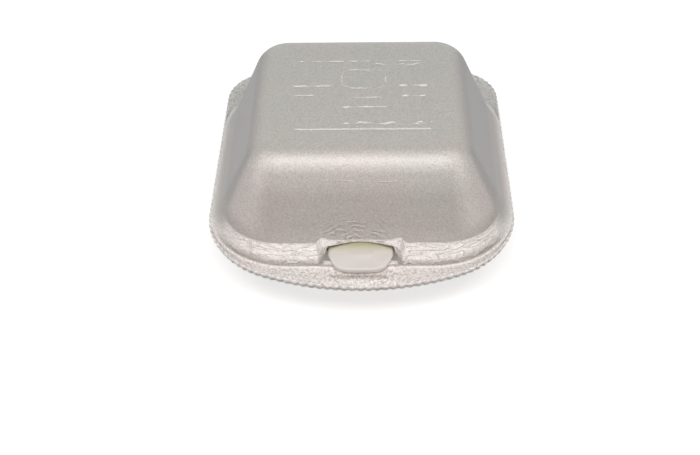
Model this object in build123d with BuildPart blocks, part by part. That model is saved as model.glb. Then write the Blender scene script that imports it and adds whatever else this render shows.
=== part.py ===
"""Hinged foam burger box, shut: a tray, a domed lid and the tongue that locks them.

The box stands on the XY plane with its middle over the origin. The lock is at the front, -Y,
and the hinge is at the back, +Y. One foam sheet makes the whole box, so the solids are cut only
where that sheet bends: at the hinge line and at the root of the tongue. All sizes are millimetres.
"""

import os
from math import cos, radians, sqrt, tan

from build123d import *

# The foam sheet and the clearances between its shut halves
sheet = 2.2
flange_thickness = 1.6
flange_gap = 0.3
nest_clearance = 0.5

# The flange in plan, with its bowed front and its pinked edge
half_width = 65.0
half_depth = 76.0
front_corner_radius = 40.0
front_bow_radius = 105.0
rear_corner_radius = 22.0
scallop_pitch = 4.1
scallop_depth = 0.8
scallop_flat = 1.6

# Heights of the tray up to the parting line, of the ledge above the flange, and of the dome above that
tray_height = 21.5
ledge_height = 4.5
dome_height = 35.5

# The band that carries the ledge of the lid, and the flange that is left round it
flange_side = 1.7
flange_end = 11.5
band_corner_radius = 34.0
band_draft = 8.0
ledge_bevel = 1.2

# The dome of the lid, and the ledge that is left round it
ledge_side = 2.8
ledge_end = 7.9
dome_foot_radius = 28.0
dome_top_radius = 15.0
dome_side_draft = 25.4
dome_end_draft = 19.7
dome_edge_radius = 11.0
dome_inside_bevel = 4.0

# The plain raised panel on the lid, and its distances from the edges of the dome's top
panel_side_margin = 11.65
panel_front_margin = 17.4
panel_rear_margin = 19.0
panel_rise = 0.6
panel_corner_radius = 5.0
panel_draft = 40.0

# The well of the tray and the hollow bead round its mouth
bead_width = 5.9
tray_draft = 20.0
tray_floor_radius = 14.0
tray_edge_radius = 7.0
tray_inside_bevel = 2.6

# The lens-shaped slot in the front of the lid: its ends lie behind the foot of the band
slot_half_width = 16.0
slot_bite = 1.1
slot_end_inset = 0.9
slot_reach = 2.5

# The boss that the slot is cut in, and the recess before it
boss_margin = 1.8
boss_rise = 2.4
boss_fall = 0.6
boss_corner_radius = 1.8
recess_margin = 0.6
recess_lip = 4.2
recess_depth = 0.4

# The tongue that comes up through the slot: it flexes behind the foot of the band
tongue_thickness = 2.6
tongue_clearance = 3.0
tongue_taper = 4.4
tongue_flex_inset = 2.1
tongue_shoulder = 1.6
tongue_length = 6.1
tongue_corner_radius = 3.0
tongue_bevel = 0.8
tongue_rest_gap = 0.35
tongue_droop = 0.5
tongue_ramp = 2.5

# The two lines where the sheet bends
flex_clearance = 0.15
hinge_web = 0.45
hinge_bevel = 2.2

# Levels and lines that follow from the sizes above
tray_flange_top = tray_height - flange_gap / 2
tray_flange_bottom = tray_flange_top - flange_thickness
lid_flange_bottom = tray_height + flange_gap / 2
lid_flange_top = lid_flange_bottom + flange_thickness
ledge_top = lid_flange_top + ledge_height
dome_top = ledge_top + dome_height
band_half_x = half_width - flange_side
band_half_y = half_depth - flange_end
dome_foot_x = band_half_x - ledge_side
dome_foot_y = band_half_y - ledge_end
dome_top_x = dome_foot_x - dome_height * tan(radians(dome_side_draft))
dome_top_y = dome_foot_y - dome_height * tan(radians(dome_end_draft))
panel_width = 2 * (dome_top_x - panel_side_margin)
panel_depth = 2 * dome_top_y - panel_front_margin - panel_rear_margin
panel_y = (panel_front_margin - panel_rear_margin) / 2
bead_inset = sheet + nest_clearance
bead_top = ledge_top - bead_inset
bead_foot_y = bead_inset - band_half_y - (lid_flange_top - tray_flange_top) * tan(radians(band_draft))
slot_rear_y = slot_bite - dome_foot_y
slot_middle_y = slot_end_inset - band_half_y
slot_front_y = -band_half_y - slot_reach
boss_half_width = slot_half_width + boss_margin
boss_top = ledge_top + boss_rise
recess_half_width = slot_half_width - recess_margin
recess_front_y = recess_lip - half_depth
tongue_half_width = slot_half_width - tongue_clearance
tongue_tip_half_width = tongue_half_width - tongue_taper
tongue_flex_y = tongue_flex_inset - band_half_y
tongue_shoulder_y = tongue_flex_y - tongue_shoulder
tongue_tip_y = tongue_flex_y - tongue_length
tongue_tip_bottom = lid_flange_top - recess_depth + tongue_rest_gap
tongue_root_bottom = tongue_tip_bottom + tongue_droop
tongue_root_top = tongue_root_bottom + tongue_thickness
tongue_root_y = tongue_flex_y - flex_clearance
past = 1.0


def leaning(rise, draft):
    """How far a wall leans in over a rise, at its draft in degrees."""
    return rise * tan(radians(draft))


def square_to(thickness, draft):
    """How far a sheet reaches along the level, at its draft in degrees."""
    return thickness / cos(radians(draft))


def rounded_face(half_x, half_y, radius, z):
    """A level rounded rectangle about the Z axis."""
    with BuildSketch(Plane.XY.offset(z)) as face:
        RectangleRounded(2 * half_x, 2 * half_y, radius)
    return face.sketch


def band_face(z, inset):
    """The band of the lid at height z, drawn in by inset for what nests inside it."""
    inset = inset + leaning(z - lid_flange_top, band_draft)
    return rounded_face(band_half_x - inset, band_half_y - inset, band_corner_radius - inset, z)


def dome_face(z, inset):
    """The dome of the lid at height z, drawn in by the sheet for its inside."""
    rise = z - ledge_top
    half_x = dome_foot_x - leaning(rise, dome_side_draft) - square_to(inset, dome_side_draft)
    half_y = dome_foot_y - leaning(rise, dome_end_draft) - square_to(inset, dome_end_draft)
    radius = dome_foot_radius + (dome_top_radius - dome_foot_radius) * rise / dome_height
    return rounded_face(half_x, half_y, radius - inset, z)


def well_face(z, inset):
    """The outside of the tray's well at height z, drawn in by the sheet for its inside."""
    depth = bead_top - z
    mouth_inset = bead_inset + bead_width + leaning(bead_top - lid_flange_top, band_draft) - sheet
    mouth_radius = band_corner_radius - mouth_inset
    narrowing = mouth_inset + leaning(depth, tray_draft) + square_to(inset, tray_draft)
    radius = mouth_radius + (tray_floor_radius - mouth_radius) * depth / bead_top
    return rounded_face(band_half_x - narrowing, band_half_y - narrowing, radius - inset, z)


def dome_outside():
    """The outside of the dome, with its top edge rounded."""
    with BuildPart() as dome:
        loft([dome_face(ledge_top - sheet, 0), dome_face(dome_top, 0)], ruled=True)
        fillet(dome.faces().sort_by(Axis.Z)[-1].edges(), dome_edge_radius)
    return dome.part


def dome_inside():
    """The hollow of the dome, with its top edge bevelled."""
    with BuildPart() as dome:
        loft([dome_face(lid_flange_bottom - past, sheet), dome_face(dome_top - sheet, sheet)], ruled=True)
        chamfer(dome.faces().sort_by(Axis.Z)[-1].edges(), dome_inside_bevel)
    return dome.part


def well_outside():
    """The outside of the well, with its bottom edge rounded."""
    with BuildPart() as well:
        loft([well_face(0, 0), well_face(bead_top, 0)], ruled=True)
        fillet(well.faces().sort_by(Axis.Z)[0].edges(), tray_edge_radius)
    return well.part


def well_inside():
    """The hollow of the well, with its bottom edge bevelled."""
    with BuildPart() as well:
        loft([well_face(sheet, sheet), well_face(bead_top + past, sheet)], ruled=True)
        chamfer(well.faces().sort_by(Axis.Z)[0].edges(), tray_inside_bevel)
    return well.part


def flange_face():
    """The flange in plan: pinked all round, apart from the straight hinge edge."""
    corner_x = half_width - front_corner_radius
    bow_y = front_bow_radius - half_depth
    centre_gap = front_bow_radius - front_corner_radius
    corner_y = bow_y - sqrt(centre_gap**2 - corner_x**2)
    meet_x = corner_x * front_bow_radius / centre_gap
    meet_y = bow_y + (corner_y - bow_y) * front_bow_radius / centre_gap
    hinge_end = half_width - rear_corner_radius
    side_end = half_depth - rear_corner_radius
    with BuildLine() as rim_line:
        RadiusArc((-hinge_end, half_depth), (-half_width, side_end), -rear_corner_radius)
        Line((-half_width, side_end), (-half_width, corner_y))
        RadiusArc((-half_width, corner_y), (-meet_x, meet_y), -front_corner_radius)
        RadiusArc((-meet_x, meet_y), (meet_x, meet_y), -front_bow_radius)
        RadiusArc((meet_x, meet_y), (half_width, corner_y), -front_corner_radius)
        Line((half_width, corner_y), (half_width, side_end))
        RadiusArc((half_width, side_end), (hinge_end, half_depth), -rear_corner_radius)
    rim = rim_line.wire()
    scallops = 2 * round(rim.length / (2 * scallop_pitch)) + 1

    reach = scallop_flat / 2 * scallops / rim.length

    def on_rim(count, inset):
        """A point that many scallops along the rim, set in from it."""
        inward = rim.tangent_at(count / scallops).rotate(Axis.Z, 90)
        return rim.position_at(count / scallops) + inward * inset

    edge = [on_rim(0, 0), on_rim(0.5 + reach, 0)]
    for count in range(1, scallops):
        edge.append(on_rim(count, scallop_depth))
        edge.append(on_rim(count + 0.5 - reach, 0))
        edge.append(on_rim(count + 0.5 + reach, 0))
    edge[-1] = on_rim(scallops, 0)
    with BuildSketch() as face:
        with BuildLine():
            Polyline(*edge, close=True)
        make_face()
    return face.sketch


def slot_face():
    """The lens-shaped slot in plan."""
    left = (-slot_half_width, slot_middle_y)
    right = (slot_half_width, slot_middle_y)
    with BuildSketch() as face:
        with BuildLine():
            ThreePointArc(left, (0, slot_rear_y), right)
            ThreePointArc(right, (0, slot_front_y), left)
        make_face()
    return face.sketch


def boss_profile(inset):
    """The boss seen from the side, drawn in by the sheet for its inside."""
    front_y = -band_half_y + inset
    top = boss_top - inset
    with BuildSketch(Plane.YZ) as face:
        with BuildLine():
            Polyline(
                (front_y, lid_flange_bottom),
                (front_y + leaning(top - boss_fall - lid_flange_top, band_draft), top - boss_fall),
                (-dome_foot_y, top),
                (slot_rear_y + 2 * sheet, top),
                (slot_rear_y + 2 * sheet, lid_flange_bottom),
                close=True,
            )
        make_face()
    return face.sketch


def boss_solid():
    """The boss, with its upper edges and its front corners rounded."""
    with BuildPart() as boss:
        extrude(boss_profile(0), amount=boss_half_width, both=True)
        front_edges = boss.faces().sort_by(Axis.Y)[0].edges().sort_by(Axis.Z)
        fillet(front_edges[1:], boss_corner_radius)
    return boss.part


def hinge_wedge(side):
    """What a flange loses towards the hinge line, where side is -1 below the parting line and 1 above."""
    slope = (flange_thickness - hinge_web) / hinge_bevel
    far = flange_gap / 2 + flange_thickness + past * slope
    near = far - (hinge_bevel + 2 * past) * slope
    with BuildPart() as wedge:
        with BuildSketch(Plane.YZ):
            with BuildLine():
                Polyline(
                    (half_depth - hinge_bevel - past, tray_height + side * far),
                    (half_depth + past, tray_height + side * near),
                    (half_depth + past, tray_height + side * far),
                    close=True,
                )
            make_face()
        extrude(amount=half_width, both=True)
    return wedge.part


flange = flange_face()
slot = slot_face()

# The tray: a tapered well, a hollow bead that nests under the ledge of the lid, and a pinked flange
with BuildPart() as tray:
    extrude(Plane.XY.offset(tray_flange_bottom) * flange, amount=flange_thickness)
    loft([band_face(tray_flange_bottom, bead_inset), band_face(bead_top, bead_inset)], ruled=True)
    chamfer(tray.faces().sort_by(Axis.Z)[-1].edges(), ledge_bevel)
    hollow = bead_inset + sheet
    loft(
        [band_face(tray_flange_bottom - past, hollow), band_face(bead_top - sheet, hollow)],
        ruled=True,
        mode=Mode.SUBTRACT,
    )
    add(well_outside())

    # The stub of the tongue rises from the bead, and ends at the flex line
    with BuildSketch(Plane.YZ):
        with BuildLine():
            stub_end_y = tongue_flex_y + flex_clearance
            ramp_foot_y = slot_rear_y + tongue_ramp / 2
            Polyline(
                (ramp_foot_y, bead_top - sheet / 2),
                (ramp_foot_y, bead_top),
                (ramp_foot_y - tongue_ramp, tongue_root_top),
                (stub_end_y, tongue_root_top),
                (stub_end_y, tongue_root_bottom),
                (stub_end_y + tongue_ramp, bead_top - sheet / 2),
                close=True,
            )
        make_face()
    extrude(amount=tongue_half_width, both=True)
    add(well_inside(), mode=Mode.SUBTRACT)

    # The flange is open under the tongue, where the tongue was cut from it
    behind_bead = (Align.CENTER, Align.MIN)
    with BuildSketch(Plane.XY.offset(tray_flange_bottom)):
        add(slot)
        with Locations((0, bead_foot_y)):
            Rectangle(2 * slot_half_width, half_depth, align=behind_bead, mode=Mode.SUBTRACT)
    extrude(amount=flange_thickness, mode=Mode.SUBTRACT)

    # The flange thins to the hinge line from below
    add(hinge_wedge(-1), mode=Mode.SUBTRACT)
tray.part.label = "base_tray"

# The lid: a dome on a ledge with a steep band, a pinked flange, and the slot for the tongue
with BuildPart() as lid:
    extrude(Plane.XY.offset(lid_flange_bottom) * flange, amount=flange_thickness)
    loft([band_face(lid_flange_bottom, 0), band_face(ledge_top, 0)], ruled=True)
    chamfer(lid.faces().sort_by(Axis.Z)[-1].edges(), ledge_bevel)
    add(boss_solid())
    loft(
        [band_face(lid_flange_bottom - past, sheet), band_face(ledge_top - sheet, sheet)],
        ruled=True,
        mode=Mode.SUBTRACT,
    )
    add(dome_outside())
    add(dome_inside(), mode=Mode.SUBTRACT)
    extrude(boss_profile(sheet), amount=boss_half_width - sheet, both=True, mode=Mode.SUBTRACT)

    # The panel on top is pressed up out of the sheet
    with BuildSketch(Plane.XY.offset(dome_top)):
        with Locations((0, panel_y)):
            RectangleRounded(panel_width, panel_depth, panel_corner_radius)
    extrude(amount=panel_rise, taper=panel_draft)
    with BuildSketch(Plane.XY.offset(dome_top - sheet)):
        with Locations((0, panel_y)):
            RectangleRounded(panel_width - sheet, panel_depth - sheet, panel_corner_radius)
    extrude(amount=panel_rise, taper=panel_draft, mode=Mode.SUBTRACT)

    # The slot goes through boss, band and flange, and the flange before it is pressed down
    slot_depth = boss_top - lid_flange_bottom + past
    extrude(Plane.XY.offset(lid_flange_bottom) * slot, amount=slot_depth, mode=Mode.SUBTRACT)
    recess_length = -band_half_y - recess_front_y
    with BuildSketch(Plane.XY.offset(lid_flange_top)):
        with Locations((0, recess_front_y + recess_length / 2)):
            Rectangle(2 * recess_half_width, recess_length)
    extrude(amount=-recess_depth, mode=Mode.SUBTRACT)

    # The flange thins to the hinge line from above
    add(hinge_wedge(1), mode=Mode.SUBTRACT)
lid.part.label = "lid"

# The tongue: a blunt rounded flap that droops from its flex line onto the flange of the lid
with BuildPart() as tongue:
    with BuildSketch():
        with BuildLine():
            Polyline(
                (-tongue_half_width, tongue_root_y),
                (-tongue_half_width, tongue_shoulder_y),
                (-tongue_tip_half_width, tongue_tip_y),
                (tongue_tip_half_width, tongue_tip_y),
                (tongue_half_width, tongue_shoulder_y),
                (tongue_half_width, tongue_root_y),
                close=True,
            )
        tongue_outline = make_face()
        tongue_corners = tongue_outline.vertices().sort_by(Axis.Y)[:4]
        fillet(tongue_corners, tongue_corner_radius)
    extrude(amount=dome_top)
    with BuildSketch(Plane.YZ):
        with BuildLine():
            Polyline(
                (tongue_root_y, tongue_root_bottom),
                (tongue_root_y, tongue_root_top),
                (tongue_tip_y, tongue_tip_bottom + tongue_thickness),
                (tongue_tip_y, tongue_tip_bottom),
                close=True,
            )
        make_face()
    extrude(amount=tongue_half_width, both=True, mode=Mode.INTERSECT)
    top_edges = tongue.faces().sort_by(Axis.Z)[-1].edges()
    chamfer(top_edges.sort_by(Axis.Y)[:-1], tongue_bevel)
tongue.part.label = "lock_tongue"

os.makedirs("parts", exist_ok=True)
export_step(tray.part, "parts/base_tray.step")
export_step(lid.part, "parts/lid.step")
export_step(tongue.part, "parts/lock_tongue.step")
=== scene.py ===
"""Foam burger box, dressed: tray, domed lid, pressed panel, lock tongue and hinge web.

Every piece is modelled in millimetres from the sizes of the solids and set into its mesh in metres.
The shells are rows of rings: a circle is extruded ring by ring, and each ring is laid on its outline.
"""

import logging
import math
from dataclasses import dataclass, field
from enum import Enum

import bmesh
import bpy
import numpy as np
from mathutils import Matrix, Vector


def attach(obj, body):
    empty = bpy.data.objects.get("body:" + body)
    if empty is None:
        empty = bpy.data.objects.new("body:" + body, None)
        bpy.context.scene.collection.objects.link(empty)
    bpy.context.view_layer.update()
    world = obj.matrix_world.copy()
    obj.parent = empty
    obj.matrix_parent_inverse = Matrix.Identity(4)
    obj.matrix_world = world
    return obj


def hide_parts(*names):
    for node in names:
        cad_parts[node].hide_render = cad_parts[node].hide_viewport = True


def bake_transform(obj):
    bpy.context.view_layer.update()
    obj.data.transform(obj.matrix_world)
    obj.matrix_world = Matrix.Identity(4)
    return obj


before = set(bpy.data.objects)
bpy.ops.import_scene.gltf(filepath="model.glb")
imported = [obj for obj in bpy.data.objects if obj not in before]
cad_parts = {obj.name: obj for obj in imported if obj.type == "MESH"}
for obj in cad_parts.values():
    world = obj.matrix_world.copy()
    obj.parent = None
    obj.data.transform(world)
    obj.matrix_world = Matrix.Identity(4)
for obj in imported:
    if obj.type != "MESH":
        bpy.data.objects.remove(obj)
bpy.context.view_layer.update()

MM = 0.001
Size = float | np.ndarray
Socket = bpy.types.NodeSocket
log = logging.getLogger("burger_box")


class Zone(float, Enum):
    """Stretches of the sheet, as the second number of its map counts them in from the rim."""

    INSIDE = -2.0
    FLANGE = 0.0
    BAND = 1.0
    LEDGE = 2.0
    WALL = 3.0
    EDGE = 4.0
    TOP = 5.0


def ease(value: Size) -> Size:
    """A soft step from 0 to 1 over the unit range."""
    held = np.clip(value, 0.0, 1.0)
    return held * held * (3.0 - 2.0 * held)


def unit(rows: np.ndarray) -> np.ndarray:
    """Directions drawn to length 1, one row each."""
    return rows / np.linalg.norm(rows, axis=1)[:, None]


def ring_at(places: np.ndarray, z: Size) -> np.ndarray:
    """Places in plan set at a height, one for all or one each."""
    return np.column_stack([places, np.broadcast_to(z, len(places))])


def rolled(radius: Size, degrees: float) -> tuple[Size, Size]:
    """How far a rounding has risen and drawn back after a turn from upright."""
    turn = math.radians(degrees)
    return radius * math.sin(turn), radius * (1 - math.cos(turn))


def blunt_arch(steps: int, blunt: float) -> list[tuple[float, float]]:
    """Half a blunt oval, 1 high and 1 to each side, from its right end over its top to its left end.

    Args:
        steps: Stretches along it.
        blunt: 2 for a half circle, more for squarer shoulders.

    Returns:
        The points along it.
    """
    points = []
    for step in range(steps + 1):
        turn = math.pi * step / steps
        across, along = math.cos(turn), math.sin(turn)
        size = (abs(across) ** blunt + along**blunt) ** (-1 / blunt)
        points.append((across * size, along * size))
    return points


def lattice(seed: int, cell: np.ndarray) -> np.ndarray:
    """A fixed number from -1 to 1 for each cell of a whole-number lattice, one row each."""
    mixed = np.sin(cell @ np.array([127.1, 311.7, 74.7]) + seed * 57.31) * 43758.5453
    return 2.0 * (mixed - np.floor(mixed)) - 1.0


def ripple(points: np.ndarray, size: tuple[float, float, float], seed: int) -> np.ndarray:
    """Soft uneven height over space, as a pressed foam sheet has.

    Args:
        points: Places in millimetres, one row each.
        size: Length of an unevenness along each axis, in millimetres.
        seed: Which of many such fields.

    Returns:
        A height from about -1 to 1 for each row.
    """
    spot = points / np.array(size)
    base = np.floor(spot)
    part = ease(spot - base)
    total = np.zeros(len(points))
    for corner in range(8):
        step = np.array([corner & 1, corner >> 1 & 1, corner >> 2 & 1], float)
        share = np.prod(np.where(step > 0, part, 1.0 - part), axis=1)
        total += share * lattice(seed, base + step)
    return total


@dataclass(frozen=True)
class BoxPlan:
    """Sizes that the pieces share, in millimetres."""

    sheet: float = 2.2
    flange_thickness: float = 1.6
    flange_gap: float = 0.3
    nest_clearance: float = 0.5
    tray_height: float = 21.5
    ledge_height: float = 4.5
    dome_height: float = 35.5
    half_width: float = 65.0
    half_depth: float = 76.0
    band_half_x: float = 63.3
    band_half_y: float = 64.5
    band_corner: float = 34.0
    band_draft: float = 8.0
    hinge_web: float = 0.45
    hinge_bevel: float = 2.2
    slot_half_width: float = 16.2
    slot_rear_y: float = -55.7
    slot_middle_y: float = -62.6
    slot_front_y: float = -67.0
    slot_narrowing: float = 1.9
    slot_reach: float = 0.8
    slot_blunt: float = 1.6

    @property
    def tray_flange_top(self) -> float:
        """Upper face of the tray's flange."""
        return self.tray_height - self.flange_gap / 2

    @property
    def lid_flange_bottom(self) -> float:
        """Lower face of the lid's flange."""
        return self.tray_height + self.flange_gap / 2

    @property
    def lid_flange_top(self) -> float:
        """Upper face of the lid's flange."""
        return self.lid_flange_bottom + self.flange_thickness

    @property
    def ledge_top(self) -> float:
        """Upper face of the lid's ledge."""
        return self.lid_flange_top + self.ledge_height

    @property
    def dome_top(self) -> float:
        """Flat top of the dome, under the panel."""
        return self.ledge_top + self.dome_height

    @property
    def bead_inset(self) -> float:
        """How far the tray's bead lies inside the lid's band."""
        return self.sheet + self.nest_clearance

    @property
    def bead_top(self) -> float:
        """Upper face of the tray's bead."""
        return self.ledge_top - self.bead_inset

    def flange_depth(self, y: np.ndarray) -> np.ndarray:
        """Thickness of a flange at places along the depth: it thins to the hinge line."""
        rise = (self.flange_thickness - self.hinge_web) / self.hinge_bevel
        return np.minimum(self.flange_thickness, self.hinge_web + (self.half_depth - y) * rise)

    def mouth(self, steps: int = 60) -> list[tuple[float, float]]:
        """Outline of the lid's slot in plan, counter-clockwise: a flat arch that narrows forward.

        Args:
            steps: Stretches along the arch.

        Returns:
            The points of the outline.
        """
        wide, deep = self.slot_half_width, self.slot_rear_y - self.slot_middle_y
        front_x, front_y = wide - self.slot_narrowing, -self.band_half_y - self.slot_reach
        arch = [(wide * x, self.slot_middle_y + deep * y) for x, y in blunt_arch(steps, self.slot_blunt)]
        return [(-front_x, front_y), (front_x, front_y), *arch]

    def lens(self, behind: float, steps: int = 48) -> list[tuple[float, float]]:
        """Outline of the tray's lens-shaped window in plan, counter-clockwise.

        Args:
            behind: Places further back than this are drawn forward to it.
            steps: Points along each of its two arcs.

        Returns:
            The points of the outline.
        """
        points = []
        for bulge, way in ((self.slot_front_y, 1.0), (self.slot_rear_y, -1.0)):
            rise = bulge - self.slot_middle_y
            radius = (self.slot_half_width**2 + rise**2) / (2 * abs(rise))
            centre = bulge - math.copysign(radius, rise)
            for step in range(steps):
                x = way * self.slot_half_width * (2 * step / steps - 1)
                y = centre + math.copysign(math.sqrt(radius**2 - x**2), rise)
                points.append((x, min(y, behind)))
        return points


@dataclass(frozen=True)
class RimArc:
    """A round stretch of the rim, counter-clockwise between two directions in degrees."""

    x: float
    y: float
    radius: float
    start: float
    end: float

    @property
    def length(self) -> float:
        """Length of the stretch."""
        return math.radians(self.end - self.start) * self.radius

    def at(self, run: float) -> tuple[float, float, float, float]:
        """Place and outward direction after a run along the stretch."""
        turn = math.radians(self.start) + run / self.radius
        out_x, out_y = math.cos(turn), math.sin(turn)
        return self.x + self.radius * out_x, self.y + self.radius * out_y, out_x, out_y


@dataclass(frozen=True)
class RimLine:
    """A straight stretch of the rim along one side, forward or back."""

    x: float
    y: float
    way: float
    length: float

    def at(self, run: float) -> tuple[float, float, float, float]:
        """Place and outward direction after a run along the stretch."""
        return self.x, self.y + self.way * run, math.copysign(1.0, self.x), 0.0


@dataclass
class Columns:
    """Columns of the shells: where each meets the pinked rim, and where it lies on a rounded outline."""

    plan: BoxPlan
    front_corner: float = 40.0
    bow: float = 105.0
    rear_corner: float = 22.0
    pitch: float = 3.4
    pinking: float = 0.65
    fine_half_width: float = 30.0
    coarse_steps: int = 4
    fine_steps: int = 10
    hinge_steps: int = 64
    rim: np.ndarray = field(init=False)
    out: np.ndarray = field(init=False)
    notch: np.ndarray = field(init=False)
    run: np.ndarray = field(init=False)
    core: np.ndarray = field(init=False)
    away: np.ndarray = field(init=False)

    def __post_init__(self) -> None:
        """Spreads the columns along the rim and finds each one's nearest place on the band."""
        plan, end_x = self.plan, self.plan.half_width - self.rear_corner
        stretches = self.stretches(end_x)
        total = sum(part.length for part in stretches)
        teeth = 2 * round(total / (2 * self.pitch)) + 1
        tooth = total / teeth
        rows = []
        for count in range(teeth):
            x, y, _, _ = self.along(stretches, (count + 0.5) * tooth)
            near = y < 0 and abs(x) < self.fine_half_width
            steps = self.fine_steps if near else self.coarse_steps
            for step in range(steps):
                at = count + step / steps
                notch = self.pinking * (1.0 - abs(math.sin(math.pi * at)))
                if at < 0.5 or at > teeth - 0.5:
                    notch = 0.0
                rows.append((*self.along(stretches, at * tooth), notch, at * tooth))
        for step in range(self.hinge_steps):
            x = end_x - 2 * end_x * step / self.hinge_steps
            rows.append((x, plan.half_depth, 0.0, 1.0, 0.0, total + end_x - x))
        table = np.array(rows)
        self.rim, self.out = table[:, 0:2], table[:, 2:4]
        self.notch, self.run = table[:, 4], table[:, 5]
        limit = np.array([plan.band_half_x - plan.band_corner, plan.band_half_y - plan.band_corner])
        nearest = np.clip(self.rim, -limit, limit)
        self.core = nearest / limit
        self.away = unit(self.rim - nearest)

    def stretches(self, end_x: float) -> list[RimArc | RimLine]:
        """The rim from the left end of the hinge line round the front to its right end.

        Args:
            end_x: Half the length of the hinge line.

        Returns:
            The rim's stretches in order.
        """
        plan = self.plan
        corner_x = plan.half_width - self.front_corner
        bow_y = self.bow - plan.half_depth
        corner_y = bow_y - math.sqrt((self.bow - self.front_corner) ** 2 - corner_x**2)
        lean = math.degrees(math.atan2(corner_x, bow_y - corner_y))
        end_y = plan.half_depth - self.rear_corner
        return [
            RimArc(-end_x, end_y, self.rear_corner, 90.0, 180.0),
            RimLine(-plan.half_width, end_y, -1.0, end_y - corner_y),
            RimArc(-corner_x, corner_y, self.front_corner, 180.0, 270.0 - lean),
            RimArc(0.0, bow_y, self.bow, 270.0 - lean, 270.0 + lean),
            RimArc(corner_x, corner_y, self.front_corner, 270.0 + lean, 360.0),
            RimLine(plan.half_width, corner_y, 1.0, end_y - corner_y),
            RimArc(end_x, end_y, self.rear_corner, 0.0, 90.0),
        ]

    @staticmethod
    def along(stretches: list[RimArc | RimLine], run: float) -> tuple[float, float, float, float]:
        """The rim's place and outward direction after a run along it.

        Args:
            stretches: The rim's stretches in order.
            run: Length from the start of the first.

        Returns:
            The place and the direction in plan.
        """
        for part in stretches:
            if run <= part.length + 1e-9:
                break
            run -= part.length
        return part.at(run)

    @property
    def count(self) -> int:
        """How many columns there are."""
        return len(self.run)

    @property
    def outward(self) -> np.ndarray:
        """Level direction away from the middle, one for each column."""
        return ring_at(self.away, 0.0)

    @property
    def front(self) -> np.ndarray:
        """Which columns face straight to the front."""
        return self.away[:, 1] < -0.9

    def on_rim(self, inset: Size, pinked: float) -> np.ndarray:
        """Places in plan set in from the rim, where a share of the pinking still shows."""
        return self.rim - self.out * (inset + self.notch * pinked)[:, None]

    def on_outline(self, half_x: Size, half_y: Size, radius: Size, middle_y: float = 0.0) -> np.ndarray:
        """Places on a rounded rectangle, whose sizes may differ from column to column.

        Args:
            half_x: Half its width.
            half_y: Half its depth.
            radius: Its corner radius.
            middle_y: Its middle along the depth.

        Returns:
            One place in plan for each column.
        """
        x = self.core[:, 0] * (half_x - radius) + self.away[:, 0] * radius
        y = self.core[:, 1] * (half_y - radius) + self.away[:, 1] * radius + middle_y
        return np.stack([x, y], axis=1)

    def on_band(self, z: Size, inset: Size) -> np.ndarray:
        """Places on the lid's band at a height, drawn in by an inset.

        Args:
            z: Height.
            inset: How far in.

        Returns:
            One place in plan for each column.
        """
        plan = self.plan
        drawn = inset + (z - plan.lid_flange_top) * math.tan(math.radians(plan.band_draft))
        return self.on_outline(plan.band_half_x - drawn, plan.band_half_y - drawn, plan.band_corner - drawn)


@dataclass(frozen=True)
class Rounding:
    """A rounding between a wall and a flat, worked out for each column."""

    wall: np.ndarray
    flat: np.ndarray
    centre: np.ndarray

    @classmethod
    def of(cls, edge: np.ndarray, beside: np.ndarray, inward: np.ndarray, radius: float) -> "Rounding":
        """Rounds a sharp edge.

        Args:
            edge: The edge, one place each.
            beside: Places on the wall next to it.
            inward: Directions along the flat, away from the edge.
            radius: Radius of the rounding.

        Returns:
            The rounding.
        """
        along = unit(beside - edge)
        turn = np.arccos(np.clip(np.sum(along * inward, axis=1), -1.0, 1.0))
        reach = (radius / np.tan(turn / 2))[:, None]
        centre = edge + unit(along + inward) * (radius / np.sin(turn / 2))[:, None]
        return cls(edge + along * reach, edge + inward * reach, centre)

    def at(self, share: float) -> np.ndarray:
        """The ring at a share of the way from the wall to the flat.

        Args:
            share: How far along the arcs.

        Returns:
            One place for each column.
        """
        first, last = self.wall - self.centre, self.flat - self.centre
        size = np.linalg.norm(first, axis=1)
        turn = np.arccos(np.clip(np.sum(first * last, axis=1) / size**2, -1.0, 1.0))[:, None]
        return self.centre + (np.sin((1 - share) * turn) * first + np.sin(share * turn) * last) / np.sin(turn)


def deselect_everything() -> None:
    """Leaves edit mode and selects nothing."""
    if bpy.context.object and bpy.context.object.mode != "OBJECT":
        bpy.ops.object.mode_set(mode="OBJECT")
    bpy.ops.object.select_all(action="DESELECT")


def pick(piece: bpy.types.Object) -> None:
    """Selects one piece alone."""
    deselect_everything()
    piece.select_set(True)
    bpy.context.view_layer.objects.active = piece


def new_piece(name: str) -> bpy.types.Object:
    """Names the primitive that was just added, and its mesh, and returns it."""
    piece = bpy.context.object
    piece.name = piece.data.name = name
    return piece


def face_outwards() -> None:
    """Turns the faces of the piece in edit mode outwards and leaves edit mode."""
    bpy.ops.mesh.select_all(action="SELECT")
    bpy.ops.mesh.normals_make_consistent(inside=False)
    bpy.ops.object.mode_set(mode="OBJECT")


def dress(piece: bpy.types.Object, finish: bpy.types.Material, angle: float) -> None:
    """Gives a piece its finish and shades it smoothly, apart from its sharper edges.

    Args:
        piece: The piece.
        finish: Its finish.
        angle: Edges that turn by more than this many degrees stay sharp.
    """
    pick(piece)
    bpy.ops.object.shade_smooth_by_angle(angle=math.radians(angle))
    piece.data.materials.append(finish)


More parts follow.
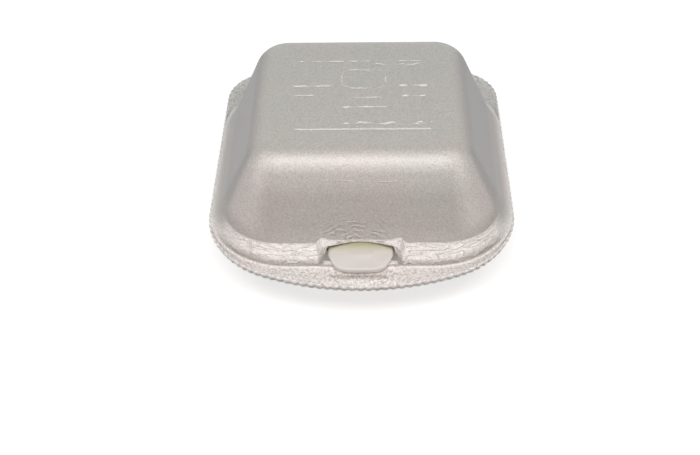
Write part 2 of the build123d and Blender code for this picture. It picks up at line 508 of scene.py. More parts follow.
def cut_through(piece: bpy.types.Object, outline: list[tuple[float, float]], low: float, high: float) -> None:
    """Cuts an opening straight down through a piece.

    Args:
        piece: The piece to cut.
        outline: The opening in plan, in millimetres.
        low: Lower end of the cut.
        high: Upper end of the cut.
    """
    deselect_everything()
    bpy.ops.mesh.primitive_circle_add(vertices=len(outline), radius=0.05, fill_type="NGON")
    punch = bpy.context.object
    for vertex, (x, y) in zip(punch.data.vertices, outline):
        vertex.co = Vector((x, y, low)) * MM
    bpy.ops.object.mode_set(mode="EDIT")
    bpy.ops.mesh.select_all(action="SELECT")
    bpy.ops.mesh.extrude_region_move(TRANSFORM_OT_translate={"value": (0.0, 0.0, (high - low) * MM)})
    face_outwards()
    pick(piece)
    cut = piece.modifiers.new("opening", "BOOLEAN")
    cut.operation = "DIFFERENCE"
    cut.solver = "EXACT"
    cut.object = punch
    bpy.ops.object.modifier_apply(modifier=cut.name)
    bpy.data.objects.remove(punch, do_unlink=True)


def read_numbers(source: bpy.types.bpy_prop_collection, name: str, width: int = 1) -> np.ndarray:
    """Reads one property of every member of a mesh's collection.

    Args:
        source: The collection.
        name: The property.
        width: Numbers in it: 1 for whole numbers, 3 for places.

    Returns:
        One number or row for each member.
    """
    values = np.zeros(len(source) * width, np.int32 if width == 1 else np.float64)
    source.foreach_get(name, values)
    return values if width == 1 else values.reshape(-1, width)


def write_map(mesh: bpy.types.Mesh, name: str, first: Size, second: Size) -> None:
    """Writes one of a piece's maps.

    Args:
        mesh: The piece's mesh.
        name: The map's name.
        first: Its first number, one for all corners of the faces or one each.
        second: Its second number.
    """
    both = np.empty((len(mesh.loops), 2), np.float32)
    both[:, 0] = first
    both[:, 1] = second
    mesh.uv_layers.new(name=name).data.foreach_set("uv", both.ravel())


def clear_maps(mesh: bpy.types.Mesh) -> None:
    """Removes the maps that a primitive came with."""
    for chart in list(mesh.uv_layers):
        mesh.uv_layers.remove(chart)


class RingStack:
    """Rings of one shell, in order, with the sheet's map for each."""

    def __init__(self, columns: int) -> None:
        """Starts with no rings of so many points."""
        self.columns = columns
        self.rings: list[np.ndarray] = []
        self.marks: list[float] = []
        self.tones: list[np.ndarray] = []
        self.crinkles: list[np.ndarray] = []

    def add(self, ring: np.ndarray, mark: float, tone: Size = 1.0, crinkle: Size = 0.0) -> None:
        """Adds one ring.

        Args:
            ring: Its places, one for each column.
            mark: Its zone on the sheet's map.
            tone: -1 for a painted highlight, 0 where pressed pale, 1 where stretched, 2 for painted shade.
            crinkle: Share of the crinkles that shows there.
        """
        self.rings.append(np.array(ring))
        self.marks.append(float(mark))
        self.tones.append(np.array(np.broadcast_to(tone, self.columns), float))
        self.crinkles.append(np.array(np.broadcast_to(crinkle, self.columns), float))

    def between(self, end: np.ndarray, end_mark: float, shares: np.ndarray) -> None:
        """Adds rings on the way from the last ring to another, in the last ring's tone.

        Args:
            end: The ring that the way ends at.
            end_mark: That ring's place on the sheet's map.
            shares: How far along the way each ring lies.
        """
        start, mark, tone, crinkle = self.rings[-1], self.marks[-1], self.tones[-1], self.crinkles[-1]
        for share in shares:
            self.add(start + (end - start) * share, mark + (end_mark - mark) * share, tone, crinkle)

    def extrude(self, name: str, run: np.ndarray) -> bpy.types.Object:
        """Makes the shell: a circle is extruded ring by ring and closed at both ends.

        Args:
            name: The piece's name.
            run: Each column's place along the rim, for the sheet's map.

        Returns:
            The closed piece, with its map.
        """
        deselect_everything()
        bpy.ops.mesh.primitive_circle_add(vertices=self.columns, radius=0.05, fill_type="NOTHING")
        piece = new_piece(name)
        bpy.ops.object.mode_set(mode="EDIT")
        bpy.ops.mesh.select_mode(type="EDGE")
        bpy.ops.mesh.select_all(action="SELECT")
        shape = bmesh.from_edit_mesh(piece.data)
        for key in ("column", "row"):
            shape.verts.layers.int.new(key)
        column = shape.verts.layers.int["column"]
        for index, vertex in enumerate(shape.verts):
            vertex[column] = index
        for count, ring in enumerate(self.rings):
            if count:
                bpy.ops.mesh.extrude_region_move()
            shape = bmesh.from_edit_mesh(piece.data)
            column, row = (shape.verts.layers.int[key] for key in ("column", "row"))
            for vertex in shape.verts:
                if vertex.select:
                    vertex.co = ring[vertex[column]] * MM
                    vertex[row] = count
            bmesh.update_edit_mesh(piece.data)
        bpy.ops.mesh.edge_face_add()
        bpy.ops.mesh.select_all(action="DESELECT")
        shape = bmesh.from_edit_mesh(piece.data)
        row = shape.verts.layers.int["row"]
        for edge in shape.edges:
            edge.select_set(edge.verts[0][row] == 0 and edge.verts[1][row] == 0)
        bmesh.update_edit_mesh(piece.data)
        bpy.ops.mesh.edge_face_add()
        face_outwards()
        self.chart(piece.data, run)
        return piece

    def chart(self, mesh: bpy.types.Mesh, run: np.ndarray) -> None:
        """Writes the maps: run along the rim in decimetres and zone, tone and crinkle.

        Args:
            mesh: The shell's mesh.
            run: Each column's place along the rim.
        """
        corner = read_numbers(mesh.loops, "vertex_index")
        columns, rows = (read_numbers(mesh.attributes[key].data, "value") for key in ("column", "row"))
        columns, rows = columns[corner], rows[corner]
        across = run[columns]
        around = run[-1] + (run[-1] - run[-2])
        starts, sizes = (read_numbers(mesh.polygons, key) for key in ("loop_start", "loop_total"))
        for start in starts[sizes == 4]:
            part = across[start : start + 4]
            if part.max() - part.min() > around / 2:
                part[part < around / 2] += around
        write_map(mesh, "sheet", across / 100.0, np.array(self.marks)[rows])
        write_map(mesh, "tone", np.array(self.tones)[rows, columns], np.array(self.crinkles)[rows, columns])
        for key in ("column", "row"):
            mesh.attributes.remove(mesh.attributes[key])


class NodeBench:
    """The node tree of a finish or of the room, with short ways to add and join nodes."""

    def __init__(self, owner: bpy.types.Material | bpy.types.World) -> None:
        """Starts with the owner's surface shader only."""
        owner.use_nodes = True
        self.owner = owner
        self.tree = owner.node_tree
        self.shader = next(node for node in self.tree.nodes if node.type in {"BSDF_PRINCIPLED", "BACKGROUND"})

    def node(self, kind: str, inputs: dict | None = None, **settings: object) -> bpy.types.Node:
        """Adds a node.

        Args:
            kind: The node's type.
            inputs: Values or joined outputs for its sockets, by name or number.
            settings: Values for the node's own properties.

        Returns:
            The node.
        """
        made = self.tree.nodes.new(kind)
        for key, value in settings.items():
            setattr(made, key, value)
        for key, value in (inputs or {}).items():
            if isinstance(value, Socket):
                self.tree.links.new(value, made.inputs[key])
            else:
                made.inputs[key].default_value = value
        return made

    def settle(self, constants: dict[str, float | tuple]) -> None:
        """Sets constants on the shader's own sockets."""
        for name, value in constants.items():
            self.shader.inputs[name].default_value = value

    def join(self, result: Socket, name: str) -> None:
        """Joins a result to one of the shader's sockets."""
        self.tree.links.new(result, self.shader.inputs[name])

    def axes(self, vector: Socket) -> bpy.types.NodeOutputs:
        """The three numbers of a vector."""
        return self.node("ShaderNodeSeparateXYZ", {0: vector}).outputs

    def place(self) -> Socket:
        """Place on the piece, in its own coordinates."""
        spot = self.node("ShaderNodeTexCoord").outputs["Object"]
        return self.node("ShaderNodeMapping", {"Vector": spot}).outputs[0]

    def chart(self, name: str) -> tuple[Socket, Socket]:
        """The two numbers of one of the piece's maps."""
        parts = self.axes(self.node("ShaderNodeUVMap", uv_map=name).outputs[0])
        return parts[0], parts[1]

    def mix(self, way: str, share: Socket | float, first: Socket | tuple, second: Socket | tuple) -> Socket:
        """Mixes two colours."""
        inputs = {0: share, 6: first, 7: second}
        return self.node("ShaderNodeMix", inputs, data_type="RGBA", blend_type=way).outputs[2]

    def math(self, operation: str, first: Socket | float, second: Socket | float = 0.0) -> Socket:
        """Adds one step of arithmetic."""
        return self.node("ShaderNodeMath", {0: first, 1: second}, operation=operation).outputs[0]

    def product(self, first: Socket, *others: Socket | float) -> Socket:
        """Multiplies numbers."""
        for other in others:
            first = self.math("MULTIPLY", first, other)
        return first

    def span(self, value: Socket, start: float, end: float, low: float = 0.0, high: float = 1.0) -> Socket:
        """A straight rise from low at a start to high at an end."""
        inputs = {"Value": value, "From Min": start, "From Max": end, "To Min": low, "To Max": high}
        return self.node("ShaderNodeMapRange", inputs).outputs[0]

    def fade(self, value: Socket, none: float, full: float) -> Socket:
        """A soft step from 0 at one value to 1 at another."""
        inputs = {"Value": value, "From Min": none, "From Max": full}
        return self.node("ShaderNodeMapRange", inputs, interpolation_type="SMOOTHSTEP").outputs[0]

    def ramp(self, factor: Socket, stops: list[tuple[float, tuple]]) -> Socket:
        """Adds a colour ramp.

        Args:
            factor: What runs along it.
            stops: Places and colours.

        Returns:
            Its colour.
        """
        made = self.node("ShaderNodeValToRGB", {0: factor})
        elements = made.color_ramp.elements
        while len(elements) < len(stops):
            elements.new(1.0)
        for element, (place, colour) in zip(elements, stops):
            element.position = place
            element.color = (*colour, 1.0)
        return made.outputs[0]

    def tint(self, colour: Socket, factor: Socket, stops: list[tuple[float, tuple]]) -> Socket:
        """Multiplies a colour by a ramp's."""
        return self.mix("MULTIPLY", 1.0, colour, self.ramp(factor, stops))

    def noise(self, vector: Socket, scale: float, detail: float = 2.0) -> Socket:
        """Height of a noise over a vector."""
        inputs = {"Vector": vector, "Scale": scale, "Detail": detail}
        return self.node("ShaderNodeTexNoise", inputs).outputs["Fac"]

    def drift(self, run: Socket, mark: Socket, along: float, across: float, detail: float) -> Socket:
        """Height of a noise over the sheet's map, about its middle.

        Args:
            run: Run along the rim.
            mark: Zone of the sheet.
            along: Scale along the rim.
            across: Scale across it.
            detail: Detail of the noise.

        Returns:
            The height.
        """
        inputs = {0: self.math("MULTIPLY", run, along), 1: self.math("MULTIPLY", mark, across)}
        place = self.node("ShaderNodeCombineXYZ", inputs).outputs[0]
        return self.math("SUBTRACT", self.noise(place, 1.0, detail), 0.5)

    def bump(self, height: Socket, distance: float, under: Socket | None = None) -> Socket:
        """Adds a bump.

        Args:
            height: Its height.
            distance: Its depth in metres.
            under: The bump that it lies on, if any.

        Returns:
            The bumped direction.
        """
        inputs = {"Height": height, "Distance": distance, "Strength": 1.0}
        if under is not None:
            inputs["Normal"] = under
        return self.node("ShaderNodeBump", inputs).outputs[0]

    def seen(self) -> Socket:
        """1 for rays of the camera, of gloss and of transmission, 0 for the rays that light the box."""
        rays = self.node("ShaderNodeLightPath").outputs
        seen = self.math("MAXIMUM", rays["Is Camera Ray"], rays["Is Glossy Ray"])
        return self.math("MAXIMUM", seen, rays["Is Transmission Ray"])


@dataclass(frozen=True)
class FoamSheet:
    """Thermoformed foam sheet: a satin skin over fine beads, paler and pleated where it is pressed flat, with
    painted shade and painted highlights in its colour.
    """

    name: str = "foam_sheet"
    # The zone colours are partly the sheet's own and partly painted light: inside is greyer and olive, partly
    # painted shade; wall is darker than top, partly painted shade on the steep wall; edge is paler, partly a
    # painted highlight on the rounded edge; pressed is paler where pressed flat, partly its own colour and
    # partly painted sheen.
    inside: tuple = (0.62, 0.605, 0.55)
    pressed: tuple = (0.84, 0.81, 0.795)
    wall: tuple = (0.425, 0.40, 0.378)
    edge: tuple = (0.49, 0.465, 0.445)
    top: tuple = (0.46, 0.452, 0.43)
    # The grey below is painted shade, mixed in where tone runs above 1, mostly on the side walls.
    side: tuple = (0.31, 0.31, 0.31)
    # The pale colour below is a painted highlight, mixed in where tone falls below 0: on the lip, the pinked
    # rim's upper edge and the ledge's crest.
    painted_highlight: tuple = (0.95, 0.93, 0.915)
    # The front and rear tints below are painted light: the sheet is drawn warmer at the front and darker and
    # greyer towards the rear, where the dome shades it.
    front_painted_light: tuple = (1.02, 0.99, 0.98)
    rear_painted_shade: tuple = (0.88, 0.905, 0.9)
    tint_reach: float = 0.06
    roughness: float = 0.40
    roughness_spread: float = 0.12
    bead: float = 0.0011
    bead_depth: float = 0.00006
    grain: float = 0.0007
    grain_depth: float = 0.00018
    pleat_scale: tuple = (75.0, 5.5)
    pleat_depth: float = 0.0013
    # Painted light and shade: how much the colour follows the pleats, lighter on ridges and darker in
    # hollows.
    pleat_light: float = 1.15
    crinkle_scale: tuple = (10.0, 3.0)
    crinkle_depth: float = 0.00046
    # Painted light and shade: how much the colour follows the crinkles, lighter on ridges and darker in
    # hollows.
    crinkle_light: float = 0.26
    fold_front_y: float = -0.045
    fold_foot_z: float = 0.0285
    fold_half_width: float = 0.0205
    fold_height: float = 0.0105
    fold_count: float = 6.0
    fold_depth: float = 0.00016
    crease_z: float = 0.0544
    crease_half_length: float = 0.026

    def colour(self, bench: NodeBench, place: Socket, mark: Socket, tone: Socket, light: Socket) -> None:
        """Joins the colour: zones of the sheet, painted shade that darkens and greys it from front to rear,
        clouds and flecks.

        Args:
            bench: The material.
            place: Place on the piece.
            mark: Zone of the sheet.
            tone: -1 for a painted highlight, 0 where pressed pale, 1 where stretched, 2 for painted shade.
            light: How much brighter pleats and crinkles are drawn, about 0: painted light on their ridges and
                painted shade in their hollows.
        """
        low, high = Zone.INSIDE, Zone.TOP + 1.0
        zones = ((-0.6, self.inside), (0.5, self.wall), (4.0, self.wall), (4.5, self.edge), (5.1, self.top))
        stops = [((zone - low) / (high - low), colour) for zone, colour in zones]
        stretched = bench.ramp(bench.span(mark, low, high), stops)
        held = bench.math("MAXIMUM", bench.math("MINIMUM", tone, 1.0), 0.0)
        colour = bench.mix("MIX", held, (*self.pressed, 1.0), stretched)
        # Tone above 1 greys the sheet: painted shade, mostly on the side walls.
        colour = bench.mix("MIX", bench.span(tone, 1.0, 2.0), colour, (*self.side, 1.0))
        # Tone below 0 pales the sheet: painted highlights.
        colour = bench.mix("MIX", bench.span(tone, 0.0, -1.0), colour, (*self.painted_highlight, 1.0))
        # Painted shade: darker and greyer towards the rear.
        depth = bench.span(bench.axes(place)[1], -self.tint_reach, self.tint_reach)
        colour = bench.tint(colour, depth, [(0.0, self.front_painted_light), (1.0, self.rear_painted_shade)])
        clouds = [(0.3, (0.97, 0.995, 0.97)), (0.5, (1.0, 0.995, 0.985)), (0.7, (1.02, 0.985, 0.985))]
        colour = bench.tint(colour, bench.noise(place, 34.0), clouds)
        flecks = [(0.3, (0.84, 0.84, 0.84)), (0.7, (1.12, 1.12, 1.12))]
        colour = bench.tint(colour, bench.noise(place, 1.0 / self.grain, 1.0), flecks)
        # The painted light and shade of the pleats and crinkles brightens and darkens the colour.
        level = bench.math("ADD", light, 1.0)
        grey = bench.node("ShaderNodeCombineColor", {0: level, 1: level, 2: level}).outputs[0]
        bench.join(bench.mix("MULTIPLY", 1.0, colour, grey), "Base Color")

    def pleats(self, bench: NodeBench, run: Socket, mark: Socket) -> Socket:
        """Fine pleats across the flange.

        Args:
            bench: The material.
            run: Run along the rim.
            mark: Zone of the sheet.

        Returns:
            Their height about its middle, 0 off the flange.
        """
        height = bench.drift(run, mark, *self.pleat_scale, 2.0)
        return bench.product(height, bench.fade(mark, -0.05, 0.05), bench.fade(mark, 1.0, 0.85))

    def crinkles(self, bench: NodeBench, run: Socket, mark: Socket) -> Socket:
        """Long wavy crinkles along the ledge.

        Args:
            bench: The material.
            run: Run along the rim.
            mark: Zone of the sheet.

        Returns:
            Their height about its middle.
        """
        swell = bench.drift(run, mark, *self.crinkle_scale, 2.5)
        line = bench.fade(bench.math("ABSOLUTE", swell), 0.05, 0.0)
        return bench.math("SUBTRACT", bench.math("ADD", bench.product(line, 0.7), swell), 0.2)

    def folds(self, bench: NodeBench, place: Socket) -> Socket:
        """Arched folds in the wall over the slot, and a faint level crease under the rounded edge.

        Args:
            bench: The material.
            place: Place on the piece.

        Returns:
            Their height.
        """
        x, y, z = bench.axes(place)
        front = bench.math("LESS_THAN", y, self.fold_front_y)
        patchy = bench.fade(bench.noise(place, 150.0, 1.0), 0.35, 0.6)
        across = bench.product(x, 1 / self.fold_half_width)
        up = bench.product(bench.math("SUBTRACT", z, self.fold_foot_z), 1 / self.fold_height)
        square = bench.math("ADD", bench.product(across, across), bench.product(up, up))
        reach = bench.math("SQRT", square)
        sway = bench.product(bench.noise(place, 260.0), 0.46)
        turn = bench.product(bench.math("ADD", reach, sway), 2 * math.pi * self.fold_count)
        folds = bench.product(bench.math("SINE", turn), bench.fade(reach, 1.2, 0.6), front, patchy)
        level = bench.math("ADD", z, bench.product(bench.noise(place, 60.0), 0.0016))
        level = bench.math("ABSOLUTE", bench.math("SUBTRACT", level, self.crease_z))
        ends = bench.fade(bench.math("ABSOLUTE", x), self.crease_half_length, self.crease_half_length - 0.01)
        crease = bench.product(bench.fade(level, 0.0004, 0.0), front, ends, patchy, 0.9)
        return bench.math("ADD", folds, crease)

    def material(self) -> bpy.types.Material:
        """Builds the finish.

        Returns:
            The material.
        """
        bench = NodeBench(bpy.data.materials.new(self.name))
        run, mark = bench.chart("sheet")
        tone, crinkle = bench.chart("tone")
        place = bench.place()
        inputs = {"Vector": place, "Scale": 1.0 / self.bead, "Smoothness": 0.6}
        beads = bench.node("ShaderNodeTexVoronoi", inputs, feature="SMOOTH_F1").outputs["Distance"]
        grain = bench.noise(place, 1.0 / self.grain)
        pleats = bench.product(self.pleats(bench, run, mark), bench.math("SUBTRACT", 1.0, crinkle))
        ridges = bench.product(self.crinkles(bench, run, mark), crinkle)
        direction = None
        for height, depth in (
            (beads, self.bead_depth),
            (grain, self.grain_depth),
            (pleats, self.pleat_depth),
            (ridges, self.crinkle_depth),
            (self.folds(bench, place), self.fold_depth),
        ):
            direction = bench.bump(height, depth, direction)
        bench.join(direction, "Normal")
        # Pleats and crinkles are drawn lighter on their ridges and darker in their hollows: painted light and
        # shade.
        lit = bench.product(pleats, self.pleat_light), bench.product(ridges, self.crinkle_light)
        self.colour(bench, place, mark, tone, bench.math("ADD", *lit))
        least, most = self.roughness - self.roughness_spread, self.roughness + self.roughness_spread
        bench.join(bench.span(grain, 0.0, 1.0, least, most), "Roughness")
        bench.settle({
            "Specular IOR Level": 1.0,
            "IOR": 1.5,
            "Subsurface Weight": 0.12,
            "Subsurface Radius": (1.0, 0.85, 0.7),
            "Subsurface Scale": 0.0015,
        })
        return bench.owner


@dataclass(frozen=True)
class SmoothFoam:
    """Smooth cream skin of the tongue, which was pressed against the mould, with a shaded root."""

    name: str = "foam_skin"
    cream: tuple = (0.76, 0.72, 0.69)
    shade: tuple = (0.40, 0.375, 0.235)
    shade_front_y: float = -0.0606
    shade_rear_y: float = -0.0566
    roughness: float = 0.48
    roughness_spread: float = 0.06
    grain_depth: float = 0.00003

    def material(self) -> bpy.types.Material:
        """Builds the finish.

        Returns:
            The material.
        """
        bench = NodeBench(bpy.data.materials.new(self.name))
        place = bench.place()
        # Painted shade: the root is drawn olive and dark where the arch shades it.
        root = bench.span(bench.axes(place)[1], self.shade_front_y, self.shade_rear_y)
        colour = bench.ramp(root, [(0.0, self.cream), (1.0, self.shade)])
        clouds = [(0.35, (0.975, 0.975, 0.975)), (0.65, (1.02, 1.02, 1.02))]
        bench.join(bench.tint(colour, bench.noise(place, 220.0, 3.0), clouds), "Base Color")
        grain = bench.noise(place, 1500.0)
        bench.join(bench.bump(grain, self.grain_depth), "Normal")
        least, most = self.roughness - self.roughness_spread, self.roughness + self.roughness_spread
        bench.join(bench.span(grain, 0.0, 1.0, least, most), "Roughness")
        bench.settle({
            "Subsurface Weight": 0.15,
            "Subsurface Radius": (1.0, 0.85, 0.6),
            "Subsurface Scale": 0.002,
        })
        return bench.owner


@dataclass
class Lid:
    """The domed lid: flange, band, ledge with the boss, wall, rounded edge and top."""

    plan: BoxPlan
    columns: Columns
    foot_x: float = 60.5
    foot_y: float = 56.6
    foot_corner: float = 28.0
    top_corner: float = 11.0
    side_draft: float = 25.4
    end_draft: float = 19.7
    edge_radius: float = 11.0
    panel_half_x: float = 31.0
    panel_half_y: float = 24.6
    panel_corner: float = 5.0
    panel_middle_y: float = -0.8
    panel_hollow: float = 0.6
    ledge_edge: float = 3.2
    ledge_fall: float = 0.6
    ledge_slope: float = 0.9
    foot_fillet: float = 1.0
    foot_mark: float = 0.9
    brow_mark: float = 1.75
    brow_turn: float = 76.0
    crease: float = 0.35
    crease_mark: float = 2.8
    flare_rise: float = 3.0
    boss_half_width: float = 16.1
    boss_rise: float = 2.4
    mouth_rise: float = 3.75
    boss_fall: float = 0.6
    ear_x: float = 14.2
    ear_swell: float = 0.7
    sill: float = 1.2
    recess_half_width: float = 15.4
    recess_front_y: float = -71.8
    recess_depth: float = 0.4
    lip_rise: float = 0.6
    lip_front_y: float = -75.4
    # Where the painted shadow under the tongue lies.
    shade_y: float = -69.7

    def on_dome(self, z: Size, inset: float) -> np.ndarray:
        """Places on the dome at a height.

        Args:
            z: Height, one for all columns or one each.
            inset: Thickness by which it is drawn in.

        Returns:
            One place in plan for each column.
        """
        rise = z - self.plan.ledge_top
        side, end = math.radians(self.side_draft), math.radians(self.end_draft)
        corner = self.foot_corner + (self.top_corner - self.foot_corner) * rise / self.plan.dome_height
        return self.columns.on_outline(
            self.foot_x - rise * math.tan(side) - inset / math.cos(side),
            self.foot_y - rise * math.tan(end) - inset / math.cos(end),
            corner - inset,
        )

    def rounding(self, inset: float) -> Rounding:
        """The rounding between wall and top.

        Args:
            inset: Thickness by which the dome is drawn in.

        Returns:
            The rounding.
        """
        top = self.plan.dome_top - inset
        edge, below = (ring_at(self.on_dome(z, inset), z) for z in (top, top - 1.0))
        return Rounding.of(edge, below, -self.columns.outward, self.edge_radius - inset)

    def boss(self, half_width: float) -> np.ndarray:
        """Height of the boss over the ledge, highest at the ears beside the slot.

        Args:
            half_width: Half the width of the boss.

        Returns:
            The height for each column.
        """
        x = self.columns.rim[:, 0]
        aside = np.abs(x)
        swell = 1.0 + 0.35 * np.exp(-(((aside - 14.6) / 2.6) ** 2)) - 0.1 * np.exp(-((x / 9.0) ** 2))
        return self.boss_rise * swell * ease((half_width + 1.3 - aside) / 2.8) * self.columns.front

    def inner_rings(self, stack: RingStack) -> None:
        """Adds the inside of the lid, from the middle of its top down to the flange.

        Args:
            stack: The shell's rings.
        """
        plan, columns, mark = self.plan, self.columns, Zone.INSIDE
        sheet = plan.sheet
        hollow = self.panel_hollow
        for size, rise in ((0.3, hollow), (0.96, hollow), (1.0, hollow / 4), (1.015, 0.0)):
            sizes = (size * part for part in (self.panel_half_x, self.panel_half_y, self.panel_corner))
            places = columns.on_outline(*sizes, self.panel_middle_y)
            stack.add(ring_at(places, plan.dome_top - sheet + rise), mark)
        rounding = self.rounding(sheet)
        for step in range(9):
            stack.add(rounding.at(1 - step / 8), mark)
        start = rounding.wall[:, 2]
        lift = self.boss(self.boss_half_width - sheet) * self.mouth_rise / self.boss_rise
        under = plan.ledge_top - sheet + lift
        for share in (0.2, 0.45, 0.7, 0.9):
            z = start + (under - start) * share
            stack.add(ring_at(self.on_dome(z, sheet), z), mark)
        for out, up in ((0.1, 0.25), (0.4, 0.0)):
            stack.add(ring_at(self.on_dome(under, sheet) + columns.away * out, under + up), mark)
        low = plan.lid_flange_bottom
        for z, inset in (
            (under, sheet + 0.6),
            (under - 0.2, sheet + 0.15),
            (under - 0.6, sheet),
            (low + 0.4, sheet),
            (low + 0.1, sheet - 0.1),
            (low, sheet - 0.4),
        ):
            stack.add(ring_at(columns.on_band(z, inset), z), mark)
        stack.add(ring_at(columns.on_rim(1.0, 0.0), low), mark)

    def stepped(self) -> list[tuple[np.ndarray, float, float]]:
        """The way from flange to wall at the front and back: a rolled ledge over a steep band.

        Returns:
            Rings with their zones and tones.
        """
        plan, columns = self.plan, self.columns
        foot, reach = plan.lid_flange_top, self.foot_fillet
        rows = []
        for turn in (20, 40, 60, 80):
            rise, up = rolled(reach, turn)
            mark = self.foot_mark + (Zone.BAND - self.foot_mark) * turn / 80
            rows.append((ring_at(columns.on_band(foot + up, rise - reach), foot + up), mark, 0.0))
        lift = self.boss(self.boss_half_width)
        level = np.clip(1.0 - lift / self.boss_rise, 0.0, 1.0)
        edge = self.ledge_edge - 1.6 * (1.0 - level)
        brow = plan.ledge_top - edge - self.ledge_fall * level + lift * (1 - self.boss_fall / self.boss_rise)
        for share in (0.0, 0.3, 0.6, 0.85, 1.0):
            z = foot + reach + (brow - foot - reach) * share
            mark = Zone.BAND + (self.brow_mark - Zone.BAND) * share
            rows.append((ring_at(columns.on_band(z, 0.0), z), mark, 0.0))
        for turn in (10, 20, 30, 40, 50, 60, 70, self.brow_turn):
            rise, back = rolled(edge, turn)
            mark = self.brow_mark + (Zone.LEDGE - self.brow_mark) * turn / self.brow_turn
            rows.append((ring_at(columns.on_band(brow, back), brow + rise), mark, 0.0))
        ledge_z = plan.ledge_top + lift + self.ledge_slope * level
        last = rows[-1][0]
        inner = ring_at(self.on_dome(ledge_z, 0.0) + columns.away * self.crease, ledge_z)
        for share in np.linspace(0, 1, 9)[1:]:
            mark = Zone.LEDGE + (self.crease_mark - Zone.LEDGE) * share
            rows.append((last + (inner - last) * share, mark, 0.0))
        for turn in (18, 36, 54, 72, 90):
            rise, up = rolled(self.crease, turn)
            places = self.on_dome(ledge_z + up, 0.0) + columns.away * (self.crease - rise)
            mark = self.crease_mark + (Zone.WALL - self.crease_mark) * turn / 90
            rows.append((ring_at(places, ledge_z + up), mark, turn / 90))
        return rows

    def flare(self, share: float) -> np.ndarray:
        """The way from flange to wall along the sides: one soft sweep.

        Args:
            share: How far along.

        Returns:
            The ring there.
        """
        low = self.plan.lid_flange_top
        knee, high = low + 0.25, self.plan.ledge_top + self.flare_rise
        first = ring_at(self.columns.on_band(low, -self.foot_fillet), low)
        second, third = (ring_at(self.on_dome(z, 0.0), z) for z in (knee, high))
        rest = 1 - share
        return rest**2 * first + 2 * rest * share * second + share**2 * third

    def flange_rings(self, stack: RingStack) -> None:
        """Adds the pinked rim and the upper side of the flange, with painted shade under the rim and towards
        the rear, and a painted highlight on the rim's upper edge.

        Args:
            stack: The shell's rings.
        """
        plan, columns = self.plan, self.columns
        low = plan.lid_flange_bottom
        # The rim's tones are painted light: its underside greyer as painted shade, its upper edge paler as a
        # painted highlight on the pinking.
        for inset, pinked, share, mark, tone in (
            (0.28, 1.0, 0.0, -0.5, 0.6),
            (0.04, 1.0, 0.15, -0.3, 0.3),
            (0.0, 1.0, 0.4, -0.1, 0.0),
            (0.0, 1.0, 0.7, 0.0, -0.5),
            (0.1, 1.0, 0.92, 0.01, -0.8),
            (0.3, 0.9, 1.0, 0.03, -0.5),
            (0.6, 0.35, 1.0, 0.06, -0.2),
            (0.85, 0.0, 1.0, 0.09, 0.0),
        ):
            places = columns.on_rim(inset, pinked)
            # Painted shade: the flange is drawn greyer towards the rear, where the dome shades it.
            rear = 0.5 * ease((places[:, 1] - 10.0) / 50.0)
            stack.add(ring_at(places, low + share * plan.flange_depth(places[:, 1])), mark, tone + rear)
        foot = columns.on_band(plan.lid_flange_top, -self.foot_fillet)
        foot = ring_at(foot, low + plan.flange_depth(foot[:, 1]))
        stack.between(foot, self.foot_mark, np.linspace(0, 1, 23)[1:])

    def ledge_rings(self, stack: RingStack) -> None:
        """Adds the band and the ledge, which run out into a flare along the sides, with a painted highlight
        on the front crest and painted shade under the roll and at the rear.

        Args:
            stack: The shell's rings.
        """
        columns = self.columns
        before, behind = columns.away[:, 1] < 0, columns.away[:, 1] > 0
        ends = ease((np.abs(columns.away[:, 1]) - 0.3) / 0.5)
        brow = ease((10.5 - np.abs(columns.rim[:, 0])) / 3.0) * columns.front
        steps = self.stepped()
        beside_boss = int(np.argmin(np.abs(columns.rim[:, 0] - 25.0) + columns.rim[:, 1]))
        way = np.array([stack.rings[-1][beside_boss]] + [ring[beside_boss] for ring, _, _ in steps])
        gone = np.cumsum(np.linalg.norm(np.diff(way, axis=0), axis=1))
        for (ring, mark, tone), share in zip(steps, gone / gone[-1]):
            ring = ring * ends[:, None] + self.flare(share) * (1 - ends)[:, None]
            # Painted highlight: the front ledge's rolled crest is drawn paler.
            pale = -0.5 * ease((mark - 1.92) / 0.2) * ease((self.crease_mark - mark) / 0.1) * before
            # Painted shade: the front band under the rolled ledge is drawn darker.
            under = 0.85 * ease((mark - 0.93) / 0.08) * ease((2.04 - mark) / 0.28) * before
            # Painted shade: the band and ledge at the rear are drawn greyer.
            rear = 0.45 * behind * (1.0 - tone)
            swept = (tone + pale + rear + under) * ends + ease((share - 0.1) / 0.9) * (1 - ends)
            swept = swept + (0.9 - swept) * brow * ease((mark - 1.95) / 0.1) * (mark < self.crease_mark)
            rising = max(0.0, 0.15 + (mark - 1.5) / 0.5), max(0.0, (mark - Zone.BAND) / 0.2)
            crinkle = ends * min(1.0, *rising, (Zone.WALL - mark) / 0.2)
            stack.add(ring, mark, swept, crinkle * np.where(before, 1.0, 0.6))

    def dome_rings(self, stack: RingStack) -> None:
        """Adds the wall, the rounded edge and the top, with painted shade on the sides, painted sheen on the
        corners and a painted highlight along the front edge.

        Args:
            stack: The shell's rings.
        """
        columns = self.columns
        rounding = self.rounding(0.0)
        start, end = stack.rings[-1][:, 2], rounding.wall[:, 2]
        aside = np.abs(columns.away[:, 0])
        sides, corners = ease((aside - 0.9) / 0.09), ease((aside - 0.15) / 0.45) * ease((0.96 - aside) / 0.12)
        # Painted light: the side walls are drawn greyer as painted shade, the corners paler as painted sheen.
        painted_side_and_corner_light = 0.85 * sides - 0.42 * corners
        front = ease((-columns.away[:, 1] - 0.5) / 0.4)
        for share in np.linspace(0, 1, 40)[1:-1] ** 1.25:
            z = start + (end - start) * share
